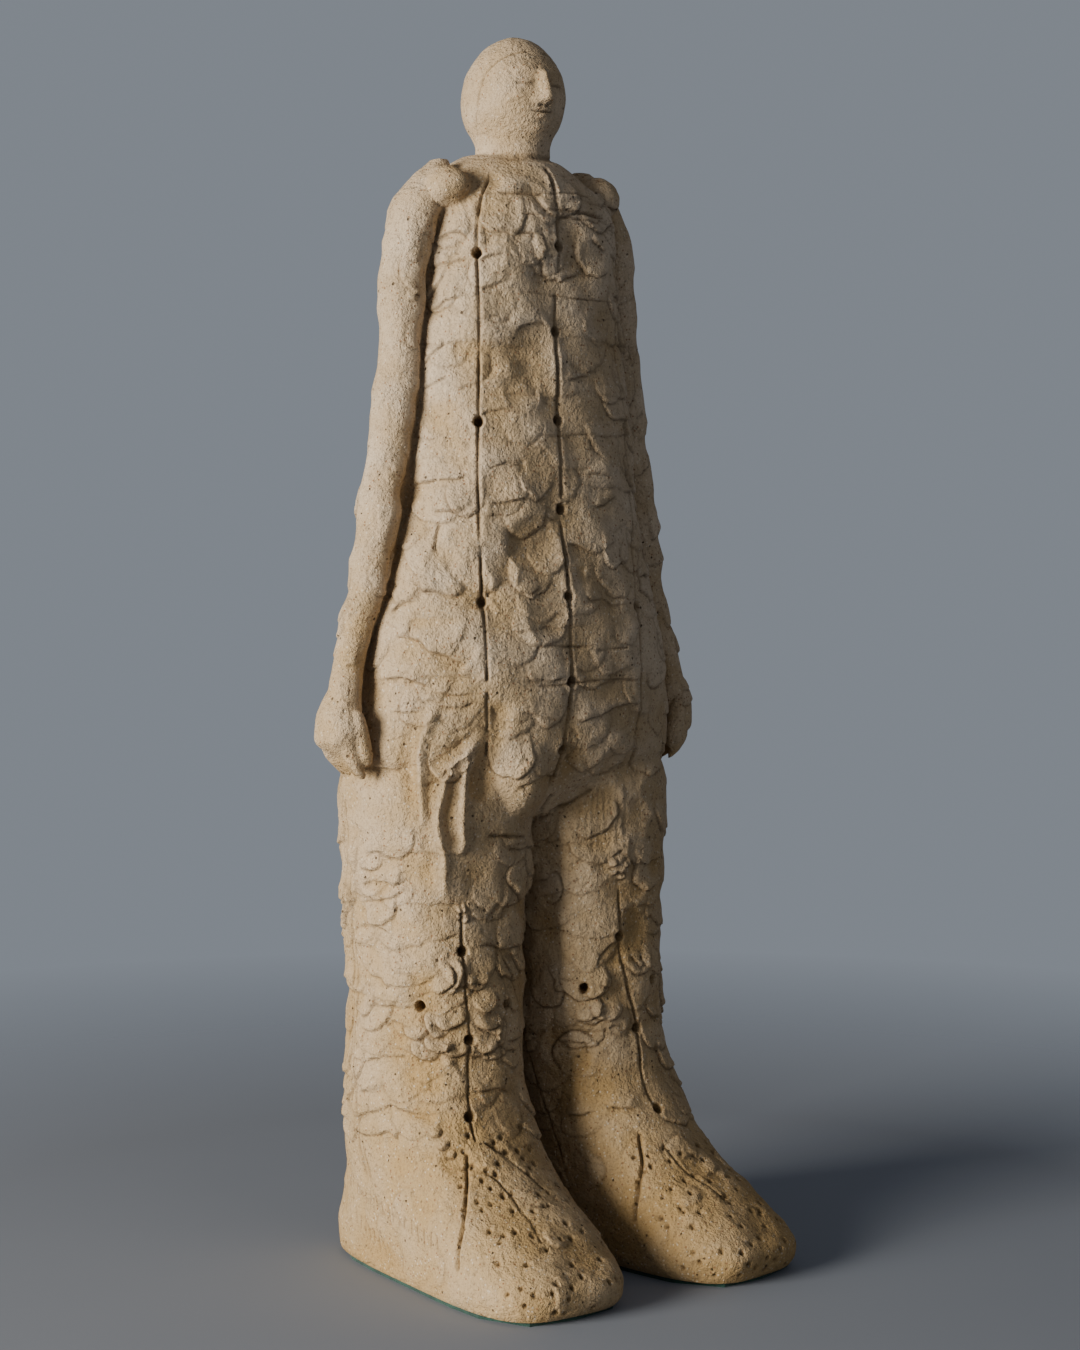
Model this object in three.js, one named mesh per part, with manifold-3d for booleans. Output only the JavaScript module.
// A standing man, hand-built from coils of coarse stoneware and fired, on two felt pads.
// Millimetres, +Z up. The figure faces -Y and his own right hand is at -X. The body's axis is
// x = 0, y = 0 while he is built. At the end the whole is moved back, so that the origin is on
// the floor under the middle of it. Angles round the body, the head and a leg are in degrees
// from the front, positive towards his left. Side is -1 for his right and 1 for his left.
import * as THREE from "three";
import { mergeVertices } from "three/addons/utils/BufferGeometryUtils.js";
import Module from "manifold-3d";

const wasm = await Module();
wasm.setup();

const { degToRad: rad, radToDeg: deg, lerp, clamp, smoothstep } = THREE.MathUtils;

// Driving dimensions
const HEIGHT = 948;
const FELT = 3;
const FELT_INSET = 2;
const NECK_Z = 857;
const CROTCH_Z = 352;
const ANKLE_Z = 110;
const LEG_X = 65;
const LEG_TOP_Z = 402;
const COIL = 36;
const HOLE_R = 4;
const HOLE_DEPTH = 12;
const LINE_HALF_WIDTH = 2.6;
const LINE_DEPTH = 3;
const MIDDLE_FORWARD = 52.6;

const SIDES = { right: -1, left: 1 };
// How far each foot turns outwards, in degrees, and how far it stands outside its thigh.
const FOOT_TURN = { "-1": 2, 1: 12 };
const FOOT_OUT = { "-1": 2, 1: 11 };
// How much wider a foot is at its toes than in its middle, as a share of its width.
const TOE_FLARE = 0.09;

// Smooth interpolation down a table whose rows start with a height and are sorted from low to high.
function profile(rows) {
  return (z) => {
    const last = rows.length - 1;
    const above = rows.findIndex((row) => row[0] > z);
    const i = clamp((above === -1 ? last : above) - 1, 0, last - 1);
    const [r0, r1, r2, r3] = [rows[Math.max(i - 1, 0)], rows[i], rows[i + 1], rows[Math.min(i + 2, last)]];
    const span = r2[0] - r1[0];
    const t = clamp((z - r1[0]) / span, 0, 1);
    const [t2, t3] = [t * t, t * t * t];
    return r1.slice(1).map((value, k) => {
      const c = k + 1;
      const m1 = ((r2[c] - r0[c]) / (r2[0] - r0[0])) * span;
      const m2 = ((r3[c] - r1[c]) / (r3[0] - r1[0])) * span;
      return (2 * t3 - 3 * t2 + 1) * value + (t3 - 2 * t2 + t) * m1 + (3 * t2 - 2 * t3) * r2[c] + (t3 - t2) * m2;
    });
  };
}

// Height, half width, depth to the front, depth to the back and squareness of the trunk.
const trunkAt = profile([
  [CROTCH_Z, 104, 52, 54, 2.4],
  [366, 117, 62, 63, 2.5],
  [383, 128, 75, 75, 2.5],
  [403, 137, 85, 84, 2.5],
  [440, 134, 89, 85, 2.5],
  [490, 127, 89, 78, 2.5],
  [530, 117, 85, 72, 2.5],
  [570, 107, 81, 67, 2.6],
  [620, 98, 78, 63, 2.7],
  [670, 92, 75, 60, 2.8],
  [720, 87, 71, 58, 2.9],
  [770, 82, 71, 56, 2.9],
  [810, 76, 69, 54, 2.7],
  [832, 66, 63, 48, 2.4],
  [848, 51, 50, 41, 2.2],
  [NECK_Z, 34, 38, 31, 2],
]);

// Height, centre forward of the leg's axis, half width, half depth and squareness of a leg and foot.
const legAt = profile([
  [FELT, 51, 58, 138, 3.7],
  [10, 52, 60, 142, 3.6],
  [24, 52, 61, 143, 3.4],
  [40, 44, 61, 132, 3],
  [58, 33, 61, 118, 2.7],
  [74, 22, 61, 104, 2.5],
  [90, 14, 61, 94, 2.5],
  [ANKLE_Z, 8, 60, 85, 2.5],
  [130, 3, 60, 78, 2.6],
  [150, 1, 60, 74, 2.6],
  [180, 0, 61, 71, 2.6],
  [225, 1, 61, 70, 2.6],
  [270, 0, 62, 69, 2.6],
  [300, 0, 64, 70, 2.6],
  [340, 0, 67, 72, 2.5],
  [370, 0, 69, 73, 2.5],
  [388, 0, 66, 70, 2.5],
  [LEG_TOP_Z, 0, 60, 62, 2.5],
]);

// Height, half width and half depth of the neck and head, whose middle is forward of the body's.
const HEAD_FORWARD = 13;
const HEAD_SQUARENESS = 2.2;
const headAt = profile([
  [840, 29, 30],
  [864, 27, 29],
  [872, 28.5, 33],
  [880, 32.5, 38.5],
  [890, 36, 41.5],
  [904, 38, 42.5],
  [917, 36, 40],
  [928, 31, 34.5],
  [937, 24, 27],
  [944, 15, 17],
  [HEIGHT, 5, 5],
]);

// Height, distance out and thickness from the middle of an arm, from the wrist to the shoulder.
const ARM_FORWARD = 10;
const armAt = profile([
  [440, 152, 14],
  [458, 149, 13.5],
  [482, 143, 12.5],
  [506, 136, 13],
  [528, 129, 14],
  [556, 124, 16.5],
  [590, 118, 17.5],
  [630, 110, 16.5],
  [664, 106, 17.5],
  [700, 101, 16.5],
  [742, 99, 17],
  [775, 95, 18],
  [803, 88, 19],
  [825, 78, 19],
  [840, 70, 15],
  [850, 66, 6],
]);

// A loose fist. Palm: height, distance out, half thickness, half width. Finger and thumb: height,
// distance out, radius. The fingers are side by side, at these distances forward of the arm.
const PALM = [[402, 151, 14, 17], [412, 155, 16, 21], [426, 155, 16, 21], [442, 153, 14, 17], [456, 150, 13, 14]];
const FINGER = [[385, 144, 4.5], [391, 148, 5.8], [402, 153, 6], [414, 158, 5]];
const THUMB = [[396, 142, 3.5], [405, 143, 6.5], [420, 147, 7], [434, 151, 4]];
const FINGERS_FORWARD = [14, 4.5, -5, -14];
const THUMB_FORWARD = 19;

// The belly's low front, which hangs between the thighs, to his right of the middle.
const BELLY_CENTRE = [-31, -40, 397];
const BELLY_RADII = [37, 48, 56];
const BELLY_LEAN = 6;

// Incised lines: height and distance from the middle, towards his left. The spine's is on the back.
const trunkLines = [
  profile([[CROTCH_Z, -62], [450, -69], [590, -68], [720, -62], [800, -60], [835, -46], [NECK_Z, -20]]),
  profile([[CROTCH_Z, -6], [400, -3], [450, 2], [590, 0], [720, 0], [780, 2], [NECK_Z, 2]]),
  profile([[CROTCH_Z, 68], [450, 74], [590, 71], [720, 66], [800, 62], [835, 48], [NECK_Z, 22]]),
];
const spineLine = profile([[CROTCH_Z, 0], [600, 3], [NECK_Z, 0]]);
// On each shin: height and distance outwards from the leg's middle. Each leg also has a side seam.
const shinLine = {
  "-1": profile([[FELT, 20], [125, 18], [187, 13], [250, 18], [LEG_TOP_Z, 19]]),
  1: profile([[FELT, -8], [125, -3], [180, 9], [215, 2], [255, -3], [LEG_TOP_Z, -2]]),
};
const SIDE_SEAM_ANGLE = 105;

// Heights of the firing holes on each incised line of the trunk, right, middle and left.
const TRUNK_HOLES = [
  [777, 651, 517],
  [784, 720, 653, 586, 520, 455, 403],
  [649, 511],
];
// Firing holes on each leg: distance outwards from the leg's middle, height.
const LEG_HOLES = {
  "-1": [[18, 254], [47, 213], [-22, 210], [13, 187], [18, 131]],
  1: [[-3, 253], [30, 215], [-34, 214], [9, 179], [-2, 117]],
};
// Pressed knobs of clay on each knee: distance outwards from the leg's middle, height, radius.
const KNEE_KNOBS = {
  "-1": [[32, 238, 10], [0, 231, 12], [-2, 209, 10], [36, 200, 11], [30, 182, 9], [-10, 186, 10]],
  1: [[-24, 232, 9], [22, 228, 10], [-18, 198, 11], [24, 193, 10]],
};
// Threads of clay dragged down from the belly over his right thigh, as points on their middles.
const DRAGGED = [
  [[-100, -62, 446], [-109, -56, 425], [-113, -53, 400], [-112, -54, 374], [-106, -57, 346]],
  [[-74, -74, 424], [-83, -71, 402], [-93, -65, 386], [-101, -62, 366], [-103, -61, 345], [-97, -63, 305]],
  [[-76, -68, 396], [-80, -67, 373], [-86, -66, 350], [-87, -65, 326]],
];
const DRAGGED_R = 8;
// Lines scored across the front: height, start and end from the middle.
const SCORED = [
  [824, -50, 40],
  [810, -12, 52],
  [747, -34, 66],
  [483, -24, 22],
  [454, -30, 74],
  [452, -106, -80],
];
const SCORE_R = 1.8;
const SCORE_WANDER = 2;

// A calm, plain face: a straight nose under two brows, closed eyes and a level mouth.
// Nose: height, half width, distance forward of the body's axis. Brow: distance out, height.
const NOSE = [[896, 5.5, 59.5], [899, 6, 62], [905, 4, 60], [912, 3, 57.5], [920, 3, 53]];
const NOSE_ROOT = 44;
const NOSTRIL_BACK = 6;
const BROW = [[4, 917], [10, 919.5], [17, 919], [24, 915]];
const BROW_R = 2.6;
const EYE = { x: 14, y: -51, z: 909, radii: [6, 3, 1.5] };
const MOUTH = { x: 0, y: -55, z: 888, radii: [8, 4, 1.3] };

// A repeatable number from 0 to 1 for each whole number.
function chance(n) {
  const s = Math.sin(n * 12.9898 + 4.1414) * 43758.5453;
  return s - Math.floor(s);
}

// How far the lower lip of a coil hangs at an angle: rounded lobes with cusps between them.
function lobes(coil, angle, seed) {
  const a = rad(angle);
  const count = 3 + Math.floor(3 * chance(coil + seed));
  const round = Math.abs(Math.sin(count * a + 2 * Math.PI * chance(coil * 3 + seed)));
  const slow = Math.sin(2 * a + 2 * Math.PI * chance(coil * 7 + seed));
  return 7 * (0.6 - round) + 4 * slow;
}

// Pressed clay: soft lumps a thumb wide.
function lumps(angle, z, seed) {
  const wave = (turns, pitch, n) => Math.sin(turns * rad(angle) + z / pitch + 2 * Math.PI * chance(n + seed));
  return 1.3 * wave(7, 19, 1) * wave(3, 31, 2) + 1.2 * wave(5, -27, 3) + 0.9 * wave(11, 13, 4);
}

// Radius of a squared oval in the direction of an angle.
function ovalRadius(angle, halfWidth, front, back, squareness) {
  const [s, c] = [Math.sin(rad(angle)), Math.cos(rad(angle))];
  const depth = c > 0 ? front : back;
  return (Math.abs(s / halfWidth) ** squareness + Math.abs(c / depth) ** squareness) ** (-1 / squareness);
}

// The angle at which the front of a squared oval is this far from the middle.
function angleAt(across, halfWidth, front, squareness) {
  const share = Math.min(Math.abs(across / halfWidth), 0.97);
  return deg(Math.atan2(across, front * (1 - share ** squareness) ** (1 / squareness)));
}

function outwards(angle) {
  return new THREE.Vector3(Math.sin(rad(angle)), -Math.cos(rad(angle)), 0);
}

// Angles of a ring's columns, each with 1 on an incised line and 0 off it. A line has three columns,
// and the spaces between lines are divided evenly.
function columns(lines, halfAngle, between) {
  return lines.flatMap((line, i) => {
    const start = line + halfAngle;
    const end = (i + 1 < lines.length ? lines[i + 1] : lines[0] + 360) - halfAngle;
    const gaps = Array.from({ length: between[i] }, (_, j) => [lerp(start, end, (j + 1) / (between[i] + 1)), 0]);
    return [[line - halfAngle, 0], [line, 1], [start, 0], ...gaps];
  });
}

// Each coil has two rings: a lip that hangs over the coil below and a neck tucked under the next.
// Share of the coil's height, bulge.
const COIL_RINGS = [[0.04, 1.9], [0.9, -2]];

function coilRings(from, to) {
  const count = Math.round((to - from) / COIL);
  return Array.from({ length: count }, (_, coil) =>
    COIL_RINGS.map(([share, bulge]) => ({ z: lerp(from, to, (coil + share) / count), coil, bulge })),
  ).flat();
}

// Closes a stack of rings, each a list of points running the same way round, into one geometry.
function stack(rings) {
  const count = rings[0].length;
  const points = rings.flat();
  const faces = [];
  for (let r = 0; r + 1 < rings.length; r++) {
    for (let i = 0; i < count; i++) {
      const [a, b] = [r * count + i, r * count + ((i + 1) % count)];
      faces.push(a, b, a + count, b, b + count, a + count);
    }
  }
  for (const first of [0, (rings.length - 1) * count]) {
    const centre = new THREE.Vector3();
    points.slice(first, first + count).forEach((p) => centre.addScaledVector(p, 1 / count));
    points.push(centre);
    for (let i = 0; i < count; i++) {
      const edge = [first + i, first + ((i + 1) % count)];
      if (first === 0) edge.reverse();
      faces.push(...edge, points.length - 1);
    }
  }
  return new THREE.BufferGeometry().setFromPoints(points).setIndex(faces);
}

// A closed geometry as a solid for joining and cutting.
function solid(geometry) {
  const bare = new THREE.BufferGeometry();
  bare.setAttribute("position", geometry.getAttribute("position"));
  bare.setIndex(geometry.index);
  const merged = mergeVertices(bare, 1e-3);
  const mesh = new wasm.Mesh({
    numProp: 3,
    vertProperties: new Float32Array(merged.attributes.position.array),
    triVerts: new Uint32Array(merged.index.array),
  });
  return new wasm.Manifold(mesh);
}

function geometryOf(manifold) {
  const mesh = manifold.getMesh();
  const geometry = new THREE.BufferGeometry();
  geometry.setAttribute("position", new THREE.BufferAttribute(mesh.vertProperties, 3));
  geometry.setIndex(new THREE.BufferAttribute(mesh.triVerts, 1));
  geometry.computeVertexNormals();
  return geometry;
}

function joined(solids) {
  return solids.reduce((a, b) => a.add(b));
}

function cut(body, tools) {
  return tools.reduce((a, b) => a.subtract(b), body);
}

// An upright ring round a centre: a squared oval.
function ovalRing(centre, halfWidth, halfDepth, count, squareness = 2) {
  return Array.from({ length: count }, (_, i) => {
    const angle = (360 * i) / count;
    const r = ovalRadius(angle, halfWidth, halfDepth, halfDepth, squareness);
    return outwards(angle).multiplyScalar(r).add(centre);
  });
}

// A tube through points, thinner at its ends: a thread of clay, or the groove that a tool leaves.
function thread(points, radius) {
  const sides = 5;
  const last = points.length - 1;
  const rings = points.map((p, i) => {
    const along = points[Math.min(i + 1, last)].clone().sub(points[Math.max(i - 1, 0)]).normalize();
    const out = new THREE.Vector3(0, -1, 0);
    out.addScaledVector(along, -out.dot(along)).normalize();
    const across = along.clone().cross(out);
    const r = radius * (i === 0 || i === last ? 0.4 : 1);
    return Array.from({ length: sides }, (_, j) => {
      const turn = (2 * Math.PI * j) / sides;
      return p.clone().addScaledVector(out, r * Math.cos(turn)).addScaledVector(across, r * Math.sin(turn));
    });
  });
  return solid(stack(rings));
}

function ball(radii, centre, around, down) {
  return new THREE.SphereGeometry(1, around, down).scale(...radii).translate(...centre);
}

// A firing hole pushed straight in from a point of the surface.
function hole(point, angle) {
  const drill = new THREE.CylinderGeometry(HOLE_R, HOLE_R * 0.8, 2 * HOLE_DEPTH, 5);
  drill.rotateX(-Math.PI / 2).rotateZ(rad(angle));
  return solid(drill.translate(point.x, point.y, point.z));
}

// A point of the trunk's surface, on its plain outline or this far outside it.
function trunkPoint(angle, z, relief = 0) {
  const r = ovalRadius(angle, ...trunkAt(z)) + relief;
  return outwards(angle).multiplyScalar(r).setZ(z);
}

function trunkLineAngles(z) {
  const [halfWidth, front, back, squareness] = trunkAt(z);
  const fronts = trunkLines.map((line) => angleAt(line(z)[0], halfWidth, front, squareness));
  return [...fronts, 180 - angleAt(spineLine(z)[0], halfWidth, back, squareness)];
}

// The trunk's relief fades out over these heights at its lower and upper ends.
const TRUNK_FADE = { low: 20, high: 34 };

function trunk() {
  const rings = coilRings(CROTCH_Z, NECK_Z).map(({ z, coil, bulge }) => {
    const fade = clamp(Math.min((z - CROTCH_Z) / TRUNK_FADE.low, (NECK_Z - z) / TRUNK_FADE.high), 0, 1);
    const halfAngle = deg(LINE_HALF_WIDTH / trunkAt(z)[1]);
    return columns(trunkLineAngles(z), halfAngle, [4, 4, 7, 7]).map(([angle, onLine]) => {
      const relief = (bulge + lumps(angle, z, 20)) * fade - onLine * LINE_DEPTH;
      return trunkPoint(angle, z + lobes(coil, angle, 11) * fade, relief);
    });
  });
  return solid(stack(rings));
}

function belly() {
  const round = ball(BELLY_RADII, [0, 0, 0], 14, 9).rotateX(rad(-BELLY_LEAN));
  return solid(round.translate(...BELLY_CENTRE));
}

// A point of a leg's surface. The foot's rings reach forward and turn with the foot.
function legPoint(side, angle, z, relief = 0) {
  const [forward, halfWidth, halfDepth, squareness] = legAt(z);
  const r = ovalRadius(angle, halfWidth, halfDepth, halfDepth, squareness) + relief;
  const turn = rad(FOOT_TURN[side]) * (1 - smoothstep(z, 80, 180));
  const out = LEG_X + FOOT_OUT[side] * (1 - smoothstep(z, 90, 240));
  const point = outwards(angle).multiplyScalar(r);
  point.x *= 1 - ((TOE_FLARE * point.y) / halfDepth) * (1 - smoothstep(z, 60, 150));
  point.y -= forward;
  return point.applyAxisAngle(new THREE.Vector3(0, 0, 1), turn).add(new THREE.Vector3(side * out, 0, z));
}

// The angle round a leg at which its front is this far outwards from its middle.
function legAngle(side, outward, z) {
  const [, halfWidth, halfDepth, squareness] = legAt(z);
  return angleAt(side * outward, halfWidth, halfDepth, squareness);
}

const FOOT_RINGS = [FELT, 10, 22, 36, 50, 64, 80, 96];

function leg(side) {
  const foot = FOOT_RINGS.map((z, i) => ({ z, coil: i, bulge: 0 }));
  const rings = [...foot, ...coilRings(ANKLE_Z, LEG_TOP_Z)].map(({ z, coil, bulge }) => {
    const coiled = smoothstep(z, 90, 125);
    const firm = clamp((z - FELT) / 20, 0, 1);
    const lines = [legAngle(side, shinLine[side](z)[0], z), side * SIDE_SEAM_ANGLE].sort((a, b) => a - b);
    const halfAngle = deg(LINE_HALF_WIDTH / legAt(z)[1]);
    return columns(lines, halfAngle, [4, 9]).map(([angle, onLine]) => {
      const relief = (bulge + lumps(angle, z, 40 + side)) * firm - onLine * coiled * LINE_DEPTH;
      return legPoint(side, angle, z + lobes(coil, angle, 31 + side) * coiled, relief);
    });
  });
  return solid(stack(rings));
}

function kneeKnobs(side) {
  return KNEE_KNOBS[side].map(([outward, z, r]) => {
    const centre = legPoint(side, legAngle(side, outward, z), z, -0.5 * r);
    return solid(ball([r, r, r], centre.toArray(), 6, 5));
  });
}

const ARM_RINGS = [440, 460, 482, 504, 526, 548, 572, 596, 620, 644, 668, 694, 720, 746, 770, 794, 814, 832, 846];

function arm(side) {
  const rings = ARM_RINGS.map((z, i) => {
    const [out, thickness] = armAt(z);
    const knobbly = thickness + 1.4 * chance(i + 7 * side) - 0.7;
    return ovalRing(new THREE.Vector3(side * out, -ARM_FORWARD, z), knobbly, knobbly * 1.08, 8);
  });
  return solid(stack(rings));
}

function hand(side) {
  const at = (out, forward, z) => new THREE.Vector3(side * out, -ARM_FORWARD - forward, z);
  const digit = (path, forward) => path.map(([z, out, r]) => ovalRing(at(out, forward, z), r, r, 5));
  const palm = PALM.map(([z, out, thick, wide]) => ovalRing(at(out, 0, z), thick, wide, 8, 2.4));
  const fingers = FINGERS_FORWARD.map((forward) => digit(FINGER, forward));
  return joined([palm, ...fingers, digit(THUMB, THUMB_FORWARD)].map((rings) => solid(stack(rings))));
}

function headPoint(angle, z, relief = 0) {
  const [halfWidth, halfDepth] = headAt(z);
  const r = ovalRadius(angle, halfWidth, halfDepth, halfDepth, HEAD_SQUARENESS) + relief;
  return outwards(angle).multiplyScalar(r).add(new THREE.Vector3(0, -HEAD_FORWARD, z));
}

const HEAD_RINGS = [840, 858, 868, 876, 884, 893, 903, 913, 922, 931, 939, 945, HEIGHT];
const HEAD_COLUMNS = 16;

function head() {
  const rings = HEAD_RINGS.map((z) =>
    Array.from({ length: HEAD_COLUMNS }, (_, i) => {
      const angle = (360 * i) / HEAD_COLUMNS;
      return headPoint(angle, z, 0.35 * lumps(angle, z, 70));
    }),
  );
  return solid(stack(rings));
}

function nose() {
  const rings = NOSE.map(([z, wide, forward]) => {
    const at = (x, ahead) => new THREE.Vector3(x, -ahead, z);
    const nostril = forward - NOSTRIL_BACK;
    return [at(0, forward), at(wide, nostril), at(wide, NOSE_ROOT), at(-wide, NOSE_ROOT), at(-wide, nostril)];
  });
  return solid(stack(rings));
}

function brow(side) {
  const points = BROW.map(([x, z]) => {
    const [halfWidth, halfDepth] = headAt(z);
    return headPoint(angleAt(side * x, halfWidth, halfDepth, HEAD_SQUARENESS), z, -1);
  });
  return thread(points, BROW_R);
}

// A slit pressed into the face at this distance from its middle.
function slit({ y, z, radii }, x) {
  return solid(ball(radii, [x, y, z], 6, 4));
}

function holes() {
  const onTrunk = TRUNK_HOLES.flatMap((heights, line) =>
    heights.map((z) => {
      const angle = trunkLineAngles(z)[line];
      return hole(trunkPoint(angle, z), angle);
    }),
  );
  const onLegs = Object.values(SIDES).flatMap((side) =>
    LEG_HOLES[side].map(([outward, z]) => {
      const angle = legAngle(side, outward, z);
      return hole(legPoint(side, angle, z), angle);
    }),
  );
  return [...onTrunk, ...onLegs];
}

function scoredLines() {
  return SCORED.map(([z, from, to]) => {
    const [halfWidth, front, , squareness] = trunkAt(z);
    const points = Array.from({ length: 5 }, (_, i) => {
      const angle = angleAt(lerp(from, to, i / 4), halfWidth, front, squareness);
      return trunkPoint(angle, z + SCORE_WANDER * Math.sin(2 * i));
    });
    return thread(points, SCORE_R);
  });
}

function figure() {
  const limbs = Object.values(SIDES).flatMap((side) => [leg(side), arm(side), hand(side), ...kneeKnobs(side)]);
  const threads = DRAGGED.map((path) => thread(path.map((p) => new THREE.Vector3(...p)), DRAGGED_R));
  const body = joined([trunk(), belly(), head(), nose(), brow(-1), brow(1), ...limbs, ...threads]);
  const slits = [slit(EYE, -EYE.x), slit(EYE, EYE.x), slit(MOUTH, MOUTH.x)];
  return cut(body, [...holes(), ...scoredLines(), ...slits]);
}

// A felt pad under one foot, a little inside its edge.
const PAD_COLUMNS = 24;

function pad(side) {
  const ring = (z) =>
    Array.from({ length: PAD_COLUMNS }, (_, i) => legPoint(side, (360 * i) / PAD_COLUMNS, FELT, -FELT_INSET).setZ(z));
  return solid(stack([ring(0), ring(FELT)]));
}

const STONEWARE = new THREE.MeshStandardMaterial({ color: 0xb9a27a, roughness: 0.95, metalness: 0 });
const FELT_GREEN = new THREE.MeshStandardMaterial({ color: 0x17352c, roughness: 1, metalness: 0 });

const root = new THREE.Group();
root.position.y = MIDDLE_FORWARD;

function addPiece(name, manifold, material) {
  const mesh = new THREE.Mesh(geometryOf(manifold), material);
  mesh.name = name;
  root.add(mesh);
}

addPiece("figure", figure(), STONEWARE);
for (const [name, side] of Object.entries(SIDES)) addPiece(`${name}_foot_pad`, pad(side), FELT_GREEN);

export default root;
